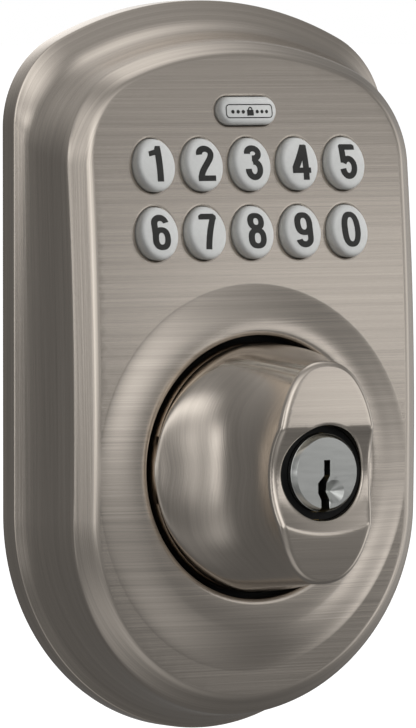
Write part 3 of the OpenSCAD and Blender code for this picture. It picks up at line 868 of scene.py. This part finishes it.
# ---- plug of the lock cylinder
PLUG_BACK = -corners("plug")[1][1]
PLUG_BEVEL = 1.0  # how far behind the front the bevel starts
PLUG_EDGE = 0.12  # rounding at the start of the bevel
BEVEL_IN = 0.5  # the bevel ends this far inside the plug's edge
BEVEL_DROP = 0.16  # and this far behind the front,
FACE_IN = 0.62  # which starts this far inside the edge
NOTCH = (1.4, -3.0)
NOTCH_R = 1.9
NOTCH_DEEP = 1.4
PLUG_POINTS = 150
SHADE_DISC = (1.0, 1.4)  # the black disc that is painted shade at the keyway's far end lies between these, in front of the plug's back
SHADE_DISC_GAP = 0.3
# left side of the keyway from the top down, and its right side from the bottom up
KEY_SLOT = [(0.6, 2.1), (-0.55, 2.1), (-0.55, -0.4), (-1.7, -1.6), (-1.7, -3.2), (-1.1, -4.4)]
KEY_SLOT_RIGHT = [(0.5, -4.2), (-0.1, -3.0), (-0.1, -1.6), (0.6, -0.4)]


def slotted_round(r):
    """Outline of the plug at a radius: a circle that the keyway cuts open at the bottom."""
    right_x, left_x = KEY_SLOT_RIGHT[0][0], KEY_SLOT[-1][0]
    start = -math.acos(right_x / r)
    end = FULL_TURN - math.acos(left_x / r)
    arc = oval_points(np.linspace(start, end, PLUG_POINTS), r, r)
    return np.vstack([arc, KEY_SLOT[::-1], KEY_SLOT_RIGHT[::-1]])


def plug_face(x, z):
    """Depth of the plug's front, with the conical notch that guides the key."""
    notch = np.clip(1 - np.hypot(x - NOTCH[0], z - NOTCH[1]) / NOTCH_R, 0, 1)
    return PLUG_FRONT - NOTCH_DEEP * notch


def plug_rings():
    """Rings from the back of the plug over its bevel to its front."""
    bevel_depth = PLUG_FRONT - PLUG_BEVEL
    rings = [lift(slotted_round(PLUG_R), PLUG_BACK), lift(slotted_round(PLUG_R), bevel_depth)]
    for far_in, forward in rounding(5, PLUG_EDGE)[:-1]:
        rings.append(lift(slotted_round(PLUG_R - far_in), bevel_depth + forward))
    rings.append(lift(slotted_round(PLUG_R - BEVEL_IN), PLUG_FRONT - BEVEL_DROP))
    front = slotted_round(PLUG_R - FACE_IN)
    rings.append(lift(front, plug_face(*front.T)))
    return rings


def make_plug(finish):
    """The plug: a bevelled round with the keyway, the guide notch and a closed back."""
    shell = Shell()
    rings = plug_rings()
    shell.loft(rings)
    front = rings[-1][:, [0, 2]]
    notch = np.vstack([round_loop(NOTCH_R * k, 48, *NOTCH) for k in (0.05, 0.25, 0.5, 0.75, 0.93, 1.0, 1.07)])
    loose = np.vstack([thinned(grid(-6, 6, -6, 6, 0.8), [front], 0.3), thinned(notch, [front], 0.08)])
    shell.cap(front, [], plug_face, loose)
    back = round_loop(PLUG_R, PLUG_POINTS)
    shell.cap(back, [], lambda x, z: PLUG_BACK, grid(-6, 6, -6, 6, 3))
    shell.piece("key_plug", "plug_body", finish, ["plug"], 22)


def make_keyway_painted_shade(finish):
    """Black disc inside the plug at the keyway's far end: painted shade that keeps the keyway dark."""
    shell = Shell()
    loop = round_loop(PLUG_R - SHADE_DISC_GAP, 64)
    rings = [lift(loop, PLUG_BACK + ahead) for ahead in SHADE_DISC]
    shell.loft(rings)
    shell.disc(rings[0], turned=True)
    shell.disc(rings[1])
    shell.piece("keyway_end", "plug_body", finish)


# ---- materials
NICKEL = (0.66, 0.595, 0.525)
BRUSH_RELIEF = 12e-6
TONE_SPAN = (0.35, 0.65)  # the span of noise that runs from the dark to the light tone
BROAD_SIZE = 9  # the broad patches of a finish are this many times its grain


def join(tree, value, pin):
    """Links an output to an input, or sets the input to a plain value."""
    if isinstance(value, bpy.types.NodeSocket):
        tree.links.new(value, pin)
    else:
        pin.default_value = value


def new_node(tree, kind, **inputs):
    """Adds a shader node and joins its inputs, whose names are given with _ for each space."""
    node = tree.nodes.new("ShaderNode" + kind)
    for socket, value in inputs.items():
        join(tree, value, node.inputs[socket.replace("_", " ")])
    return node


def new_material(name, **sockets):
    """A Principled material with its plain values set on the shader's own sockets."""
    material = bpy.data.materials.new(name)
    material.use_nodes = True
    shader = material.node_tree.nodes["Principled BSDF"]
    for socket, value in sockets.items():
        shader.inputs[socket.replace("_", " ")].default_value = value
    return material, material.node_tree, shader


def noise(tree, source, scale, detail, rough=0.55):
    """Noise over a coordinate that is stretched by scale = (x, y, z)."""
    point = new_node(tree, "Mapping", Vector=source, Scale=scale).outputs["Vector"]
    return new_node(tree, "TexNoise", Vector=point, Scale=1.0, Detail=detail, Roughness=rough).outputs["Fac"]


def remap(tree, value, low, high, start=0.3, end=0.7):
    """Stretches the span from start to end to the span from low to high."""
    node = new_node(tree, "MapRange", Value=value, From_Min=start, From_Max=end, To_Min=low, To_Max=high)
    return node.outputs["Result"]


def blend_colours(tree, share, dark, light):
    node = tree.nodes.new("ShaderNodeMix")
    node.data_type = "RGBA"
    for socket, value in (("A", (*dark, 1)), ("B", (*light, 1)), ("Factor", share)):
        join(tree, value, node.inputs[socket])
    return node.outputs["Result"]


def add(tree, a, b, operation="ADD"):
    """Sum of two numbers or outputs, or what another operation makes of them."""
    node = tree.nodes.new("ShaderNodeMath")
    node.operation = operation
    for pin, value in zip(node.inputs, (a, b)):
        join(tree, value, pin)
    return node.outputs["Value"]


def bump(tree, shader, height, distance):
    node = new_node(tree, "Bump", Height=height, Distance=distance, Strength=1.0)
    tree.links.new(node.outputs["Normal"], shader.inputs["Normal"])


def brush_input(tree, shader):
    """The brush map's coordinates; the shader's highlights are stretched along it too."""
    uv = tree.nodes.new("ShaderNodeUVMap")
    uv.uv_map = "brush"
    tangent = tree.nodes.new("ShaderNodeTangent")
    tangent.direction_type = "UV_MAP"
    tangent.uv_map = "brush"
    tree.links.new(tangent.outputs["Tangent"], shader.inputs["Tangent"])
    return uv.outputs["UV"]


def average(tree, a, b, share):
    """Mix of two values, with a share of the first."""
    return add(tree, add(tree, a, share, "MULTIPLY"), add(tree, b, 1 - share, "MULTIPLY"))


def satin_metal(name, colour, rough, grain=1.0, stretch=0.55):
    """Brushed metal: long scratches that run along the brush map, in colour, roughness and relief."""
    material, tree, shader = new_material(name, Metallic=1.0, Anisotropic=stretch, Anisotropic_Rotation=0.25)
    source = brush_input(tree, shader)
    broad = noise(tree, source, (0.006, 0.9, 1), 3)
    fine = noise(tree, source, (0.022, 4.2, 1), 4, 0.65)
    streaks = remap(tree, average(tree, broad, fine, 0.45), 0, 1, *TONE_SPAN)
    dark = [c * (1 - 0.15 * grain) for c in colour]
    light = [min(1.0, c * (1 + 0.11 * grain)) for c in colour]
    tree.links.new(blend_colours(tree, streaks, dark, light), shader.inputs["Base Color"])
    tree.links.new(remap(tree, fine, rough * 0.88, rough * 1.14), shader.inputs["Roughness"])
    bump(tree, shader, fine, BRUSH_RELIEF * grain)
    return material


def grained(name, dark, light, rough, size, relief, stretch=(1, 1, 1), **sockets):
    """Any other finish: two tones, a varying roughness and a relief, from noise of a size in metres."""
    material, tree, shader = new_material(name, **sockets)
    scale = tuple(s / size for s in stretch)
    point = tree.nodes.new("ShaderNodeTexCoord").outputs["Object"]
    spots = noise(tree, point, scale, 4)
    broad = noise(tree, point, tuple(s / BROAD_SIZE for s in scale), 2)
    both = average(tree, spots, broad, 0.5)
    tone = blend_colours(tree, remap(tree, both, 0, 1, *TONE_SPAN), dark, light)
    tree.links.new(tone, shader.inputs["Base Color"])
    tree.links.new(remap(tree, both, rough * 0.8, rough * 1.2, *TONE_SPAN), shader.inputs["Roughness"])
    bump(tree, shader, spots, relief)
    return material


def satin_nickel():
    """The plate: satin nickel, brushed along its mouldings and across its face."""
    return satin_metal("satin_nickel", NICKEL, 0.23)


def knob_nickel():
    """The knob: the same metal, brushed finer and a little glossier."""
    return satin_metal("knob_nickel", NICKEL, 0.16, grain=0.6, stretch=0.3)


def key_plastic():
    return grained("key_plastic", (0.66, 0.665, 0.65), (0.72, 0.725, 0.71), 0.36, 0.0006, 4e-6)


def key_ink():
    return grained("ink", (0.012, 0.012, 0.011), (0.03, 0.03, 0.028), 0.5, 0.0005, 3e-6)


def plug_chrome():
    """Satin chrome, with its grain drawn out from left to right."""
    return grained("plug_chrome", (0.60, 0.61, 0.59), (0.68, 0.69, 0.67), 0.22, 0.0008, 2e-6,
                   (0.2, 1, 1), Metallic=1.0)


def black_zinc():
    """Dull black plating that mirrors very little; the same finish paints the shade at the keyway's far end.
    """
    return grained("black_zinc", (0.004, 0.004, 0.004), (0.010, 0.010, 0.010), 0.42, 0.0005, 3e-6,
                   Specular_IOR_Level=0.12)


def zinc_steel():
    return grained("zinc_steel", (0.42, 0.43, 0.44), (0.62, 0.62, 0.60), 0.34, 0.0011, 6e-6, Metallic=1.0)


def brass():
    return grained("brass", (0.62, 0.45, 0.18), (0.78, 0.60, 0.28), 0.28, 0.0012, 4e-6, Metallic=1.0)


def spring_bronze():
    return grained("spring_bronze", (0.50, 0.36, 0.18), (0.66, 0.50, 0.28), 0.3, 0.0008, 3e-6,
                   Metallic=1.0)


def black_rubber():
    return grained("black_rubber", (0.016, 0.016, 0.017), (0.035, 0.034, 0.033), 0.75, 0.0004, 10e-6)


def grey_silicone():
    """Bluish grey silicone of the mat under the keys."""
    return grained("grey_silicone", (0.10, 0.12, 0.14), (0.16, 0.18, 0.20), 0.55, 0.0006, 8e-6)


def board_green():
    """Green solder mask of the circuit board."""
    return grained("board_green", (0.01, 0.09, 0.04), (0.02, 0.15, 0.07), 0.35, 0.0014, 5e-6)


def black_plastic():
    return grained("black_plastic", (0.018, 0.018, 0.02), (0.035, 0.035, 0.037), 0.5, 0.0005, 8e-6)


def cream_plastic():
    return grained("cream_plastic", (0.66, 0.62, 0.50), (0.74, 0.71, 0.60), 0.45, 0.0007, 6e-6)


def lamp_lens():
    """Red lens of the small lamps on the board."""
    return grained("lamp_lens", (0.55, 0.10, 0.05), (0.70, 0.16, 0.08), 0.2, 0.0006, 2e-6)


def copper_winding():
    """Enamelled copper wire, whose fine turns show as stripes across the coil."""
    return grained("copper_winding", (0.45, 0.17, 0.07), (0.62, 0.26, 0.12), 0.35, 0.0002, 30e-6,
                   (0.05, 0.05, 1), Metallic=1.0)


def lead_jacket():
    """Red jacket of the clutch's lead."""
    return grained("lead_jacket", (0.28, 0.02, 0.015), (0.38, 0.04, 0.03), 0.5, 0.0005, 4e-6)


# finishes of the CAD nodes that keep their own shape
NODE_FINISH = {
    zinc_steel: ["back_plate", "back_plate_screws", "bore_collar", "mounting_posts", "board_screws",
                 "solenoid_frame", "solenoid_screws", "clutch_pin", "knob_cover_screws",
                 "knob_spindle", "clutch_collar", "spindle_clip", "plug_clip", "tailpiece", "driver_pins"],
    brass: ["cylinder_housing", "key_pins", "hub_bushing"],
    spring_bronze: ["pin_springs", "clutch_spring"],
    black_rubber: ["gasket", "cable_grommet"],
    grey_silicone: ["keypad_mat"],
    board_green: ["circuit_board"],
    black_plastic: ["board_chips", "board_frame", "buzzer"],
    cream_plastic: ["board_connector"],
    lamp_lens: ["status_lamps"],
    copper_winding: ["solenoid_coil"],
    lead_jacket: ["clutch_lead"],
    black_zinc: ["cylinder_bezel", "knob_cover"],
}


def finish_nodes():
    """Finishes the CAD nodes that show their own shape. Returns the finishes by their makers."""
    finishes = {make_finish: make_finish() for make_finish in NODE_FINISH}
    for make_finish, names in NODE_FINISH.items():
        for name in names:
            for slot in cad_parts[name].material_slots:
                slot.material = finishes[make_finish]
    return finishes


# ---- stage, light and camera
FLOOR_HALF = 60.0  # metres
FLOOR_Z = -0.12
AMBIENT = 0.13
DIFFUSE_SHARE = 0.45  # how much of the surroundings lights the plain, unpolished surfaces
# Soft lamps round the lock: degrees to the right of straight in front, degrees above level,
# how small the lamp is (13 is broad, 60 is narrow, 250 is a small spot), and how bright.
# A least-squares program picked and weighed all but two of them; most were then only rounded.
LAMPS = [
    (120, 75, 13, 0.9),
    (-135, 45, 13, 0.25),
    (-45, 45, 13, 0.55),
    (45, 45, 13, 0.15),
    (165, 20, 13, 1.6),
    (-105, 20, 13, 0.1),
    (-15, 20, 13, 1.15),
    (15, 20, 13, 0.3),
    (-65, 18, 60, 1.1),
    (-78, 0, 250, 1.1),
    (-70, 0, 60, 0.25),
    (-60, 0, 250, 0.6),
    (-30, 0, 60, 1.0),
    (45, 0, 60, 0.45),
    (90, 0, 13, 0.8),
    (-80, -18, 60, 0.3),
    (60, -18, 60, 0.9),
    (-45, -45, 13, 0.2),
    (0, -45, 13, 0.3),
]
CAMERA_TURN = 32.5  # degrees to the left of straight in front
CAMERA_TILT = 2.43  # degrees above level
CAMERA_AWAY = 1321  # millimetres back along the line of sight
CAMERA_RIGHT = 3.33
CAMERA_UP = 16.03
CAMERA_LENS = 395.6


def make_floor():
    """A pale floor under the lock, which hangs as it would on a door."""
    mesh = bpy.data.meshes.new("floor")
    around = ((-1, -1), (1, -1), (1, 1), (-1, 1))
    mesh.from_pydata([(x * FLOOR_HALF, y * FLOOR_HALF, FLOOR_Z) for x, y in around], [], [(0, 1, 2, 3)])
    floor = add_object("floor", mesh)
    white, pale = (1, 1, 1, 1), (0.8, 0.8, 0.8, 1)
    paint = new_material("floor_paint", Base_Color=pale, Emission_Color=white, Emission_Strength=0.85,
                         Roughness=0.9)[0]
    mesh.materials.append(paint)
    floor.visible_glossy = False
    floor.visible_diffuse = False


def lamp_glow(tree, direction, turn, height, sharpness, brightness):
    """Brightness of one soft lamp, seen in each direction: a smooth spot that fades with the angle."""
    turn, height = math.radians(turn), math.radians(height)
    towards = (math.sin(turn) * math.cos(height), -math.cos(turn) * math.cos(height), math.sin(height))
    dot = tree.nodes.new("ShaderNodeVectorMath")
    dot.operation = "DOT_PRODUCT"
    dot.inputs[1].default_value = towards
    tree.links.new(direction, dot.inputs[0])
    fall = add(tree, add(tree, dot.outputs["Value"], -1), sharpness, "MULTIPLY")
    return add(tree, add(tree, fall, 0, "EXPONENT"), brightness, "MULTIPLY")


def make_world():
    """Studio surroundings: grey with soft lamps, which the metal reflects; the camera sees plain white."""
    world = bpy.data.worlds.new("studio")
    bpy.context.scene.world = world
    world.use_nodes = True
    tree = world.node_tree
    tree.nodes.clear()
    direction = tree.nodes.new("ShaderNodeTexCoord").outputs["Generated"]
    level = AMBIENT
    for lamp in LAMPS:
        level = add(tree, lamp_glow(tree, direction, *lamp), level)
    path = tree.nodes.new("ShaderNodeLightPath")
    kept = add(tree, add(tree, path.outputs["Is Diffuse Ray"], DIFFUSE_SHARE - 1, "MULTIPLY"), 1)
    studio = new_node(tree, "Background", Color=add(tree, level, kept, "MULTIPLY"))
    plain = new_node(tree, "Background", Color=(1, 1, 1, 1))
    mix = new_node(tree, "MixShader", Fac=path.outputs["Is Camera Ray"])
    tree.links.new(studio.outputs["Background"], mix.inputs[1])
    tree.links.new(plain.outputs["Background"], mix.inputs[2])
    new_node(tree, "OutputWorld", Surface=mix.outputs["Shader"])


def make_light(name, place_at, size, power, mirrored):
    """A soft square light that looks at the lock. The metal mirrors it only if mirrored is true."""
    data = bpy.data.lights.new(name, "AREA")
    data.shape = "SQUARE"
    data.size = size
    data.energy = power
    light = add_object(name, data)
    light.location = place_at
    light.rotation_euler = (-Vector(place_at)).to_track_quat("-Z", "Y").to_euler()
    light.visible_camera = False
    light.visible_glossy = mirrored


def make_camera():
    """Camera to the left of the lock and a little above it, as for a catalogue picture."""
    turn, tilt = math.radians(CAMERA_TURN), math.radians(CAMERA_TILT)
    right = Vector((math.cos(turn), -math.sin(turn), 0))
    ahead = Vector((math.sin(turn) * math.cos(tilt), math.cos(turn) * math.cos(tilt), -math.sin(tilt)))
    up = right.cross(ahead)
    data = bpy.data.cameras.new("camera")
    data.sensor_width = 36
    data.lens = CAMERA_LENS
    data.clip_start = 0.05
    camera = add_object("camera", data)
    spot = right * CAMERA_RIGHT + up * CAMERA_UP - ahead * CAMERA_AWAY
    turned = Matrix((right, up, -ahead)).transposed().to_4x4()
    camera.matrix_world = Matrix.Translation(spot * MM) @ turned
    bpy.context.scene.camera = camera


def make_stage():
    """Camera, surroundings, floor and the two lights."""
    view = bpy.context.scene.view_settings
    view.view_transform = "Standard"
    view.look = "None"
    make_camera()
    make_world()
    make_floor()
    make_light("key_light", place_at=(1.0, -1.1, 0.7), size=0.8, power=19, mirrored=False)
    make_light("near_card", place_at=(0.17, -0.25, 0.035), size=0.085, power=0.011, mirrored=True)


make_stage()
FINISHES = finish_nodes()
make_escutcheon(satin_nickel())
make_knob(knob_nickel())
make_keys(key_plastic(), key_ink())
make_plug(plug_chrome())
# black disc inside the plug: painted shade for the keyway's far end
make_keyway_painted_shade(FINISHES[black_zinc])
